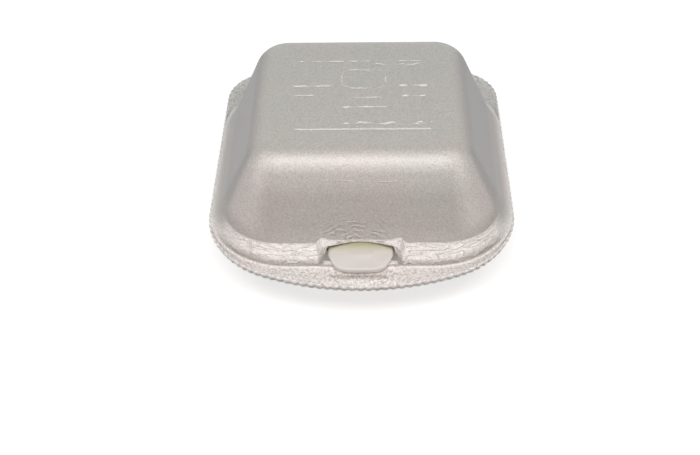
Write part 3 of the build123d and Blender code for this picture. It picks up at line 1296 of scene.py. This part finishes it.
            # Painted highlight along the top of the front wall, and painted light from below near its foot.
            painted_shine = front * (0.3 * ease((share - 0.6) / 0.4) + 0.1 * ease((0.25 - share) / 0.2))
            tone = 1.0 + painted_side_and_corner_light * ease(share / 0.25) - painted_shine
            stack.add(ring_at(self.on_dome(z, 0.0), z), Zone.WALL + share, tone)
        for step in range(15):
            # Painted highlight along the front's rounded edge.
            painted_shine = front * (0.3 + 0.16 * ease(step / 4)) * ease((13 - step) / 7)
            tone = 1.0 + painted_side_and_corner_light * ease(1.0 - step / 9) - painted_shine
            stack.add(rounding.at(step / 14), Zone.EDGE + step / 14, tone)
        stack.tones[-1][:] = 1.0
        middle = np.array([0.0, self.panel_middle_y, self.plan.dome_top])
        stack.between(middle, Zone.TOP + 1.0, np.array([0.12, 0.26, 0.42, 0.6, 0.78]))

    def press_flange(self, ring: np.ndarray, mark: float, tone: np.ndarray) -> None:
        """Presses the recess before the slot and the lip before it, paints a highlight on the lip and paints
        shadow on the flange under the tongue.

        Args:
            ring: A ring on the flange, which is changed.
            mark: Its zone.
            tone: Its tones, which are changed.
        """
        x, y = np.abs(ring[:, 0]), ring[:, 1]
        before = y < 0
        across = ease((self.recess_half_width + 1.5 - x) / 2.5) * before
        lip = across * ease((self.recess_front_y - y + 0.2) / 0.6) * ease((y - self.lip_front_y) / 2.6)
        recess = across * ease((y - self.recess_front_y + 0.25) / 0.5) * min(1.0, (1.05 - mark) / 0.1)
        ring[:, 2] += self.lip_rise * lip - self.recess_depth * recess
        # Painted highlight on the lip.
        tone -= 0.7 * lip
        # Painted shadow on the flange under the tongue's front edge.
        tone += 0.85 * np.exp(-(((y - self.shade_y) / 1.2) ** 2)) * ease((13.5 - x) / 5.0) * before

    def work(self, stack: RingStack) -> None:
        """Presses the flange, swells the ears beside the slot and makes ledge and wall uneven.

        Args:
            stack: The shell's rings.
        """
        out = self.columns.outward
        for ring, mark, tone, crinkle in zip(stack.rings, stack.marks, stack.tones, stack.crinkles):
            if 0.02 <= mark <= Zone.BAND:
                self.press_flange(ring, mark, tone)
            if 1.2 < mark < 2.6:
                ear = np.exp(-(((np.abs(ring[:, 0]) - self.ear_x) / 2.2) ** 2)) * self.columns.front
                swell = self.ear_swell * ease((mark - 1.2) / 0.6) * ease((2.6 - mark) / 0.6)
                ring += out * (swell * ear)[:, None]
            if Zone.BAND < mark < Zone.WALL:
                rough = 0.15 * ripple(ring, (5.5, 3.0, 2.2), 3) + 0.08 * ripple(ring, (2.2, 1.3, 1.2), 4)
                ring[:, 2] += crinkle * rough * 0.7
                ring += out * (crinkle * rough * 0.5)[:, None]
            if mark >= Zone.WALL:
                swell = 0.10 * ripple(ring, (17.0, 17.0, 15.0), 5)
                fade = min(1.0, (mark - Zone.WALL) / 0.2) * min(1.0, max(0.0, (Zone.TOP - mark) / 0.5))
                ring -= out * (fade * (swell + 0.1))[:, None]

    def build(self, finish: bpy.types.Material) -> bpy.types.Object:
        """Builds and dresses the lid.

        Args:
            finish: The foam's finish.

        Returns:
            The piece.
        """
        plan = self.plan
        stack = RingStack(self.columns.count)
        self.inner_rings(stack)
        self.flange_rings(stack)
        self.ledge_rings(stack)
        self.dome_rings(stack)
        self.work(stack)
        piece = stack.extrude("lid_shell", self.columns.run)
        cut_through(piece, plan.mouth(), plan.lid_flange_top + self.sill, plan.ledge_top + 4.0)
        dress(piece, finish, 42.0)
        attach(piece, "lid")
        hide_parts("lid")
        return piece


@dataclass
class PressedPanel:
    """The raised panel on the lid, with a blank rounded frame and plain bars pressed up out of it."""

    plan: BoxPlan
    width: float = 64.0
    depth: float = 51.3
    middle_y: float = -0.8
    rise: float = 0.16
    foot: float = -0.12
    line_rise: float = 0.42
    highest: float = 0.595
    skirt: float = 0.5
    across: int = 260
    along: int = 300

    def relief(self, x: np.ndarray, y: np.ndarray) -> np.ndarray:
        """The pressed-up lines: a blank rounded frame, bars beside and under it, rules in front and behind.

        Args:
            x: Places across, from the panel's middle.
            y: Places along, from the panel's middle.

        Returns:
            0 beside the lines and up to 1 on them, for each place.
        """
        spot = ring_at(np.column_stack([x, y]), 0.0)
        sway = 0.4 * ripple(spot, (5.0, 5.0, 1.0), 22) + 0.3 * ripple(spot, (1.7, 1.7, 1.0), 24)
        worn = np.clip(0.6 + 1.1 * ripple(spot, (3.0, 2.2, 1.0), 21), 0.1, 1.0)

        def bar(mid_x: float, mid_y: float, reach: float, wide: float, loose: float = 0.3) -> np.ndarray:
            """A thin level bar of a half length and half width, which strays by its looseness."""
            across = ease((reach - np.abs(x - mid_x)) / 0.6)
            return across * ease((wide + 0.15 - np.abs(y - mid_y + loose * sway)) / 0.45)

        away = np.hypot(np.maximum(np.abs(x - 1.5) - 5.0, 0.0), np.maximum(np.abs(y - 11.0) - 2.4, 0.0))
        lines = 0.8 * ease((0.55 - np.abs(away - 4.5 + sway)) / 0.5)
        for line in (
            (-20.5, 5.8, 8.5, 0.6),
            (-20.5, -1.2, 8.0, 0.2),
            (22.5, 5.8, 6.2, 0.7),
            (22.5, -1.8, 5.2, 0.4),
            (1.5, -2.8, 8.0, 0.4),
            (1.5, -9.6, 10.0, 0.4),
            (4.0, -20.6, 11.0, 0.4, 2.0),
            (22.0, -21.4, 8.0, 0.3, 2.0),
            (17.0, 21.8, 11.0, 0.25, 2.0),
            (0.0, self.depth / 2 - 1.2, 27.0, 0.2),
        ):
            lines = np.maximum(lines, bar(*line))
        return np.maximum(lines * worn, 0.55 * bar(1.0, -self.depth / 2 + 1.0, 28.0, 0.35))

    def height(self, x: np.ndarray, y: np.ndarray) -> np.ndarray:
        """Height of the panel over the dome's top.

        Args:
            x: Places across, from the panel's middle.
            y: Places along, from the panel's middle.

        Returns:
            The height for each place.
        """
        ends = ease((self.depth / 2 - 0.2 - np.abs(y)) / 0.6)
        sides = ease((self.width / 2 - 0.4 - np.abs(x)) / 4.0)
        height = self.foot + (self.rise - self.foot) * ends * sides + self.line_rise * self.relief(x, y)
        uneven = 0.02 * ripple(ring_at(np.column_stack([x, y]), 0.0), (3.0, 3.0, 1.0), 23)
        return np.minimum(height + uneven, self.highest)

    def build(self, finish: bpy.types.Material) -> bpy.types.Object:
        """Builds and dresses the panel.

        Args:
            finish: The foam's finish.

        Returns:
            The piece.
        """
        deselect_everything()
        bpy.ops.mesh.primitive_grid_add(x_subdivisions=self.across, y_subdivisions=self.along, size=2.0)
        piece = new_piece("lid_panel")
        mesh = piece.data
        spots = read_numbers(mesh.vertices, "co", 3)
        x, y = spots[:, 0] * (self.width / 2), spots[:, 1] * (self.depth / 2)
        spots = np.column_stack([x, y + self.middle_y, self.plan.dome_top + self.height(x, y)])
        mesh.vertices.foreach_set("co", (spots * MM).ravel())
        bpy.ops.object.mode_set(mode="EDIT")
        bpy.ops.mesh.select_mode(type="EDGE")
        bpy.ops.mesh.select_all(action="DESELECT")
        bpy.ops.mesh.select_non_manifold()
        bpy.ops.mesh.extrude_region_move(TRANSFORM_OT_translate={"value": (0.0, 0.0, -self.skirt * MM)})
        bpy.ops.mesh.edge_face_add()
        face_outwards()
        clear_maps(mesh)
        spots = read_numbers(mesh.vertices, "co", 3) / MM
        corner = read_numbers(mesh.loops, "vertex_index")
        # Painted highlight: the raised lines are drawn paler.
        tones = 1.0 - 0.9 * self.relief(spots[:, 0], spots[:, 1] - self.middle_y)
        write_map(mesh, "sheet", spots[corner, 0] / 100.0, Zone.TOP + 0.5)
        write_map(mesh, "tone", tones[corner], 0.0)
        dress(piece, finish, 40.0)
        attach(piece, "lid")
        return piece


@dataclass
class Tray:
    """The tray: well, hollow bead that nests under the ledge, and pinked flange."""

    plan: BoxPlan
    columns: Columns
    bead_width: float = 5.9
    draft: float = 20.0
    floor_corner: float = 14.0
    edge_radius: float = 7.0
    bead_edge: float = 1.3
    mouth_edge: float = 1.0
    rim_inset: float = 0.9
    slit_inner: float = 12.6
    slit_outer: float = 16.2
    slit_front_y: float = -66.4
    slit_rear_y: float = -57.0

    def on_well(self, z: Size, inset: float) -> np.ndarray:
        """Places on the well's outside at a height, drawn in for its inside.

        Args:
            z: Height.
            inset: Thickness by which it is drawn in.

        Returns:
            One place in plan for each column.
        """
        plan = self.plan
        depth = plan.bead_top - z
        mouth = plan.bead_inset + self.bead_width - plan.sheet
        mouth += (plan.bead_top - plan.lid_flange_top) * math.tan(math.radians(plan.band_draft))
        corner = plan.band_corner - mouth
        slope = math.radians(self.draft)
        narrow = mouth + depth * math.tan(slope) + inset / math.cos(slope)
        radius = corner + (self.floor_corner - corner) * depth / plan.bead_top - inset
        return self.columns.on_outline(plan.band_half_x - narrow, plan.band_half_y - narrow, radius)

    def rounding(self, inset: float) -> Rounding:
        """The rounding between wall and floor.

        Args:
            inset: Thickness by which the well is drawn in, and height of the floor.

        Returns:
            The rounding.
        """
        edge, above = (ring_at(self.on_well(z, inset), z) for z in (inset, inset + 1.0))
        return Rounding.of(edge, above, -self.columns.outward, self.edge_radius - inset)

    def upper_rings(self, stack: RingStack) -> None:
        """Adds the upper side: floor, inside of the well, bead and flange.

        Args:
            stack: The shell's rings.
        """
        plan, columns, mark = self.plan, self.columns, Zone.INSIDE
        rounding = self.rounding(plan.sheet)
        for size in (0.25, 0.6, 0.9):
            stack.add(ring_at(rounding.flat[:, :2] * size, plan.sheet), mark)
        for step in range(9):
            stack.add(rounding.at(1 - step / 8), mark)
        start, top = rounding.wall[:, 2], plan.bead_top
        mouth = top - self.mouth_edge
        for share in (0.15, 0.35, 0.55, 0.75, 0.9):
            z = start + (mouth - start) * share
            stack.add(ring_at(self.on_well(z, plan.sheet), z), mark)
        for turn in (0, 20, 40, 60, 90):
            rise, back = rolled(self.mouth_edge, turn)
            places = self.on_well(mouth, plan.sheet) + columns.away * back * 1.2
            stack.add(ring_at(places, mouth + rise), mark)
        brow = top - self.bead_edge
        for turn in (90, 70, 45, 20, 0):
            rise, back = rolled(self.bead_edge, turn)
            stack.add(ring_at(columns.on_band(brow, plan.bead_inset + back), brow + rise), mark)
        low = plan.tray_flange_top
        for up, out in ((0.5, 0.0), (0.12, 0.12)):
            stack.add(ring_at(columns.on_band(low + up, plan.bead_inset - out), low + up), mark)
        # Painted shade: the tray's flange is drawn greyer, as it lies under the lid's flange.
        stack.add(ring_at(columns.on_band(low, plan.bead_inset - 0.5), low), mark + 1.0, 0.5)
        rim = ring_at(columns.on_rim(1.0 + self.rim_inset, 0.0), low)
        stack.between(rim, -0.02, np.linspace(0, 1, 8)[1:])

    def lower_rings(self, stack: RingStack) -> None:
        """Adds the rim and the lower side: flange, hollow of the bead, well and bottom.

        Args:
            stack: The shell's rings.
        """
        plan, columns = self.plan, self.columns
        top = plan.tray_flange_top
        for inset, pinked, share, mark in (
            (0.55, 0.5, 0.0, 0.0),
            (0.25, 0.95, 0.0, 0.01),
            (0.04, 1.0, 0.15, 0.02),
            (0.0, 1.0, 0.4, 0.02),
            (0.0, 1.0, 0.7, 0.02),
            (0.1, 1.0, 0.92, 0.02),
            (0.3, 0.9, 1.0, 0.03),
            (0.9, 0.0, 1.0, 0.1),
        ):
            places = columns.on_rim(inset + self.rim_inset * (columns.out[:, 1] < 0.9), pinked)
            # Painted shade: the tray's rim is drawn greyer, as it lies under the lid's flange.
            stack.add(ring_at(places, top - share * plan.flange_depth(places[:, 1])), mark, 0.4)
        low, hollow = top - plan.flange_thickness, plan.bead_inset + plan.sheet
        foot = columns.on_band(low, hollow - 0.5)
        stack.between(ring_at(foot, top - plan.flange_depth(foot[:, 1])), 0.9, np.linspace(0, 1, 8)[1:])
        mark = Zone.INSIDE
        ceiling = plan.bead_top - plan.sheet
        for z, inset in (
            (low + 0.12, hollow - 0.12),
            (low + 0.5, hollow),
            (ceiling - 0.3, hollow),
            (ceiling, hollow + 0.3),
        ):
            stack.add(ring_at(columns.on_band(z, inset), z), mark)
        stack.add(ring_at(self.on_well(ceiling, 0.0) + columns.away * 0.3, ceiling), mark)
        rounding = self.rounding(0.0)
        start, end = ceiling - 0.3, rounding.wall[:, 2]
        for share in (0.0, 0.1, 0.25, 0.4, 0.55, 0.7, 0.85, 0.95):
            z = start + (end - start) * share
            stack.add(ring_at(self.on_well(z, 0.0), z), mark)
        for step in range(13):
            stack.add(rounding.at(step / 12), mark)
        for size in (0.9, 0.6, 0.25):
            stack.add(ring_at(rounding.flat[:, :2] * size, 0.0), mark)

    def build(self, finish: bpy.types.Material) -> bpy.types.Object:
        """Builds and dresses the tray.

        Args:
            finish: The foam's finish.

        Returns:
            The piece.
        """
        plan = self.plan
        stack = RingStack(self.columns.count)
        self.upper_rings(stack)
        self.lower_rings(stack)
        piece = stack.extrude("tray_shell", self.columns.run)
        below = plan.tray_flange_top - plan.flange_thickness - 1.0
        bead_foot = plan.bead_inset - plan.band_half_y - 0.4
        cut_through(piece, plan.lens(bead_foot), below, plan.tray_flange_top + 0.6)
        for side in (-1.0, 1.0):
            left, right = sorted((side * self.slit_inner, side * self.slit_outer))
            front, rear = self.slit_front_y, self.slit_rear_y
            slit = [(left, front), (right, front), (right, rear), (left, rear)]
            cut_through(piece, slit, below, plan.bead_top + 1.0)
        dress(piece, finish, 42.0)
        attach(piece, "tray")
        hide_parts("base_tray")
        return piece


@dataclass
class LockTongue:
    """The tongue that comes up through the slot and lies before it: a soft scoop with a thick round edge."""

    half_width: float = 13.4
    root_y: float = -54.2
    shoulder_y: float = -59.5
    tip_y: float = -68.4
    flex_y: float = -62.4
    middle_y: float = -61.0
    top_z: float = 26.1
    root_rise: float = 2.45
    tip_fall: float = 0.45
    dish: float = 0.35
    thickness: float = 2.6
    thinning: float = 1.0
    edge: float = 0.8
    blunt: float = 4.0
    taper: float = 0.22
    root_steps: int = 20
    side_steps: int = 16
    tip_steps: int = 64

    def outline(self) -> np.ndarray:
        """The tongue in plan, counter-clockwise from its right root.

        Returns:
            The points of the outline.
        """
        wide, side = self.half_width, self.shoulder_y - self.root_y
        points = [(wide - 2 * wide * step / self.root_steps, self.root_y) for step in range(self.root_steps)]
        gone = [side * step / self.side_steps for step in range(self.side_steps)]
        points += [(-wide, self.root_y + part) for part in gone]
        reach = self.tip_y - self.shoulder_y
        for x, y in blunt_arch(self.tip_steps, self.blunt):
            points.append((-wide * x * (1 - self.taper * y), self.shoulder_y + reach * y))
        points += [(wide, self.shoulder_y - part) for part in gone[1:]]
        return np.array(points)

    def top(self, spots: np.ndarray) -> np.ndarray:
        """Height of the upper face at places in plan.

        Args:
            spots: The places.

        Returns:
            The height for each place.
        """
        x, y = spots[:, 0], spots[:, 1]
        root = ease((y + 60.5) / 5.5)
        fall = ease((self.flex_y - y) / (self.flex_y - self.tip_y))
        dish = (1 - (x / self.half_width) ** 2) * ease((y - self.tip_y) / 4.0) * ease((-57.0 - y) / 3.0)
        return self.top_z + self.root_rise * root - self.tip_fall * fall - self.dish * dish

    def depth(self, spots: np.ndarray) -> np.ndarray:
        """Thickness at places in plan, which grows towards the front edge."""
        return self.thickness - self.thinning * ease((spots[:, 1] + 66.2) / 1.5)

    def build(self, finish: bpy.types.Material) -> bpy.types.Object:
        """Builds and dresses the tongue.

        Args:
            finish: The finish of its smooth skin.

        Returns:
            The piece.
        """
        outline = self.outline()
        ahead = np.roll(outline, -1, axis=0) - np.roll(outline, 1, axis=0)
        inward = unit(np.column_stack([-ahead[:, 1], ahead[:, 0]]))
        middle = np.array([0.0, self.middle_y])
        spine = middle + (outline - middle) * 0.35
        rim = outline + inward * self.edge
        deep = self.depth(rim)
        stack = RingStack(len(outline))
        for share in (0.9, 0.7, 0.5, 0.3, 0.15):
            spots = rim + (spine - rim) * share
            stack.add(ring_at(spots, self.top(spots) - self.depth(spots)), Zone.FLANGE)
        for turn in (-90, -65, -40, -15, 15, 40, 65, 90):
            rise, sink = rolled(self.edge, turn)
            flank = math.copysign(1.0, turn) * (deep / 2 - self.edge)
            stack.add(ring_at(outline + inward * sink, self.top(rim) - deep / 2 + rise + flank), Zone.FLANGE)
        for share in (0.1, 0.2, 0.3, 0.45, 0.6, 0.75, 0.9, 1.0):
            spots = rim + (spine - rim) * share
            stack.add(ring_at(spots, self.top(spots)), Zone.FLANGE)
        piece = stack.extrude("tongue_flap", np.arange(len(outline), dtype=float))
        dress(piece, finish, 50.0)
        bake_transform(piece)
        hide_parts("lock_tongue")
        return piece


@dataclass
class HingeWeb:
    """The thin web that joins the two flanges along the hinge line."""

    plan: BoxPlan
    half_length: float = 42.6
    depth: float = 0.5
    reach: float = 0.42
    inset: float = 0.02
    cuts: int = 10

    def build(self, finish: bpy.types.Material) -> bpy.types.Object:
        """Builds and dresses the web.

        Args:
            finish: The foam's finish.

        Returns:
            The piece.
        """
        deselect_everything()
        bpy.ops.mesh.primitive_cube_add(size=2.0)
        piece = new_piece("hinge_web")
        middle = Vector((0.0, self.plan.half_depth - self.depth / 2 - self.inset, self.plan.tray_height))
        for vertex in piece.data.vertices:
            x, y, z = vertex.co
            vertex.co = (middle + Vector((x * self.half_length, y * self.depth / 2, z * self.reach))) * MM
        bpy.ops.object.mode_set(mode="EDIT")
        bpy.ops.mesh.select_all(action="SELECT")
        bpy.ops.mesh.subdivide(number_cuts=self.cuts)
        bpy.ops.object.mode_set(mode="OBJECT")
        clear_maps(piece.data)
        write_map(piece.data, "sheet", 0.0, -0.2)
        write_map(piece.data, "tone", 0.0, 0.0)
        dress(piece, finish, 40.0)
        z = self.plan.tray_height * MM
        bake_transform(piece)
        return piece


@dataclass
class Studio:
    """Pale floor, soft lamps and the camera, in metres."""

    camera_place: tuple = (0.0057, -0.3846, 0.3330)
    heading: tuple = (-0.03, 0.9996)
    pitch: float = 42.0
    roll: float = -1.4
    lens: float = 56.7
    floor_size: float = 30.0
    floor_grey: float = 0.6
    floor_glow: float = 0.66
    room_light: float = 0.13

    def floor(self) -> bpy.types.Object:
        """Lays the floor.

        Returns:
            The floor.
        """
        deselect_everything()
        bpy.ops.mesh.primitive_plane_add(size=self.floor_size)
        plane = new_piece("studio_floor")
        bench = NodeBench(bpy.data.materials.new("studio_floor"))
        bench.settle({
            "Base Color": (self.floor_grey, self.floor_grey, self.floor_grey, 1.0),
            "Roughness": 0.9,
            "Specular IOR Level": 0.1,
            "Emission Color": (1.0, 1.0, 1.0, 1.0),
        })
        bench.join(bench.product(bench.seen(), self.floor_glow), "Emission Strength")
        plane.data.materials.append(bench.owner)
        return plane

    def sky(self) -> None:
        """Lights the room evenly, and shows white behind the floor."""
        bench = NodeBench(bpy.data.worlds.new("studio"))
        bpy.context.scene.world = bench.owner
        bench.settle({"Color": (1.0, 1.0, 1.0, 1.0)})
        bench.join(bench.span(bench.seen(), 0.0, 1.0, self.room_light, 1.0), "Strength")

    def lamp(self, name: str, place: tuple, aim: tuple, size: tuple, watts: float, colour: tuple) -> None:
        """Hangs one soft lamp.

        Args:
            name: Its name.
            place: Where it hangs.
            aim: Where it points.
            size: Its width and height.
            watts: Its power.
            colour: Its colour.
        """
        data = bpy.data.lights.new(name, "AREA")
        data.shape = "RECTANGLE"
        data.size, data.size_y = size
        data.energy = watts
        data.color = colour
        lamp = bpy.data.objects.new(name, data)
        bpy.context.scene.collection.objects.link(lamp)
        lamp.location = place
        lamp.rotation_euler = (Vector(aim) - Vector(place)).to_track_quat("-Z", "Y").to_euler()

    def camera(self) -> None:
        """Sets the camera at the photograph's place and angle."""
        data = bpy.data.cameras.new("view")
        data.sensor_fit = "HORIZONTAL"
        data.sensor_width = 36.0
        data.lens = self.lens
        data.clip_start = 0.01
        camera = bpy.data.objects.new("view", data)
        bpy.context.scene.collection.objects.link(camera)
        pitch = math.radians(self.pitch)
        level = Vector((*self.heading, 0.0)) * math.cos(pitch)
        ahead = (level - Vector((0.0, 0.0, math.sin(pitch)))).normalized()
        right = ahead.cross(Vector((0, 0, 1))).normalized()
        up = right.cross(ahead)
        turn = Matrix((right, up, -ahead)).transposed().to_4x4()
        turn = turn @ Matrix.Rotation(math.radians(self.roll), 4, "Z")
        camera.matrix_world = Matrix.Translation(Vector(self.camera_place)) @ turn
        bpy.context.scene.camera = camera

    def build(self) -> None:
        """Builds the whole studio."""
        self.floor()
        self.sky()
        self.lamp("overhead", (0.0, -0.40, 0.80), (0.0, -0.03, 0.05), (0.9, 0.34), 6.3, (1.0, 0.98, 0.965))
        self.lamp("front", (0.1, -1.0, 0.42), (0.0, -0.05, 0.04), (1.3, 0.3), 0.7, (1.0, 0.985, 0.97))
        self.lamp("rear", (0.0, 1.1, 0.45), (0.0, 0.05, 0.04), (1.2, 0.4), 1.5, (1.0, 0.99, 0.98))
        self.camera()
        bpy.context.scene.view_settings.view_transform = "Standard"


def main() -> None:
    """Builds every piece in order, then the studio."""
    logging.basicConfig(level=logging.INFO, format="%(name)s: %(message)s")
    plan = BoxPlan()
    columns = Columns(plan)
    foam = FoamSheet().material()
    skin = SmoothFoam().material()
    pieces = [
        Tray(plan, columns).build(foam),
        Lid(plan, columns).build(foam),
        PressedPanel(plan).build(foam),
        LockTongue().build(skin),
        HingeWeb(plan).build(foam),
    ]
    for piece in pieces:
        log.info("%s: %d faces", piece.name, len(piece.data.polygons))
    Studio().build()


if __name__ == "__main__":
    main()
